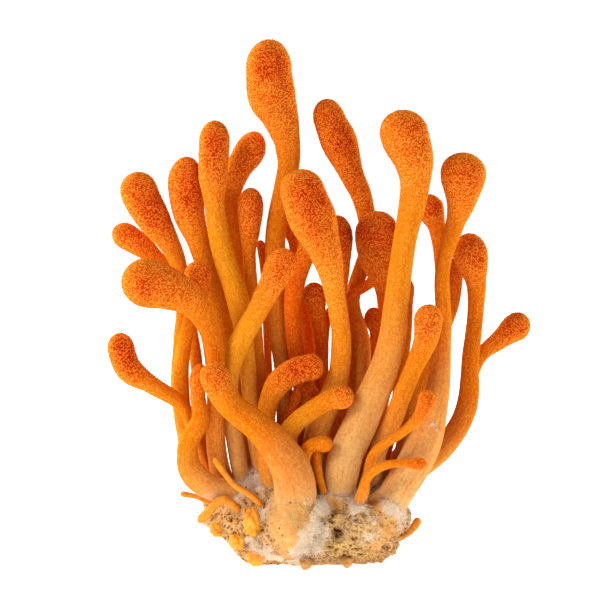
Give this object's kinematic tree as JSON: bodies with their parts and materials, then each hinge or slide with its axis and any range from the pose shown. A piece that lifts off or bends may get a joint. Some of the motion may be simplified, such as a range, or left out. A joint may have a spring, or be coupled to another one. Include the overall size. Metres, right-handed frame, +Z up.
{
  "type": "cordyceps bunch",
  "caption": "Upright bunch of orange cordyceps clubs with grainy heads, grown from one flat-cut clump of white and tan mycelium.",
  "frame": {"origin": "centre of the clump's flat-cut underside", "axes": "+Z up along the bunch, -Y towards the side that the picture shows, +X to the right"},
  "size_m": [0.0558, 0.026, 0.0684],
  "materials": {
    "orange_flesh": "matt, finely grainy on the heads, satin on the stalks",
    "pale_flesh": "satin, fibrous, pale towards the foot",
    "dark_flesh": "matt, deep red-orange",
    "mycelium": "cottony white over porous tan crumb",
    "yellow_primordium": "satin, smooth"
  },
  "bodies": {
    "root": {"root_clump": "mycelium", "tall_centre": "orange_flesh", "rear_right": "orange_flesh", "front_right": "pale_flesh", "right_outer": "pale_flesh", "right_second": "orange_flesh", "right_far": "orange_flesh", "central_front": "orange_flesh", "left_tall": "orange_flesh", "left_rear": "orange_flesh", "left_outer": "orange_flesh", "left_far": "orange_flesh", "left_bent": "orange_flesh", "left_small": "orange_flesh", "front_left": "pale_flesh", "pale_diagonal": "pale_flesh", "arching_right": "orange_flesh", "small_front": "pale_flesh", "tiny_front": "orange_flesh", "left_curl": "pale_flesh", "left_low": "orange_flesh", "left_knob": "orange_flesh", "upper_left_second": "orange_flesh", "red_small": "orange_flesh", "tiny_knob": "orange_flesh", "thin_behind_red": "orange_flesh", "behind_central": "dark_flesh", "dark_low_centre": "dark_flesh", "dark_centre_right": "dark_flesh", "crossing_branch": "dark_flesh", "dark_right_low": "dark_flesh", "dark_red_big": "dark_flesh", "small_behind_right": "dark_flesh", "right_front": "pale_flesh", "right_inner": "orange_flesh", "upper_right_rear": "orange_flesh", "small_right_front": "orange_flesh", "low_right": "orange_flesh", "small_blunt": "orange_flesh", "dark_s_stem": "dark_flesh", "low_stub_front": "orange_flesh", "rear_centre": "orange_flesh", "rear_right_tall": "orange_flesh", "rear_middle": "dark_flesh", "rear_left_tall": "orange_flesh", "rear_left": "orange_flesh", "rear_left_short": "orange_flesh", "rear_right_second": "orange_flesh", "rear_right_outer": "orange_flesh", "rear_red": "dark_flesh", "left_spur": "yellow_primordium", "right_spur": "yellow_primordium", "left_stub": "yellow_primordium", "front_strand": "yellow_primordium", "nodule_strand_end": "yellow_primordium", "nodule_left": "yellow_primordium", "nodule_lower_left": "yellow_primordium", "nodule_bottom_left": "yellow_primordium", "knob_bottom_centre": "yellow_primordium", "knob_bottom_right": "yellow_primordium"}
  },
  "joints": []
}
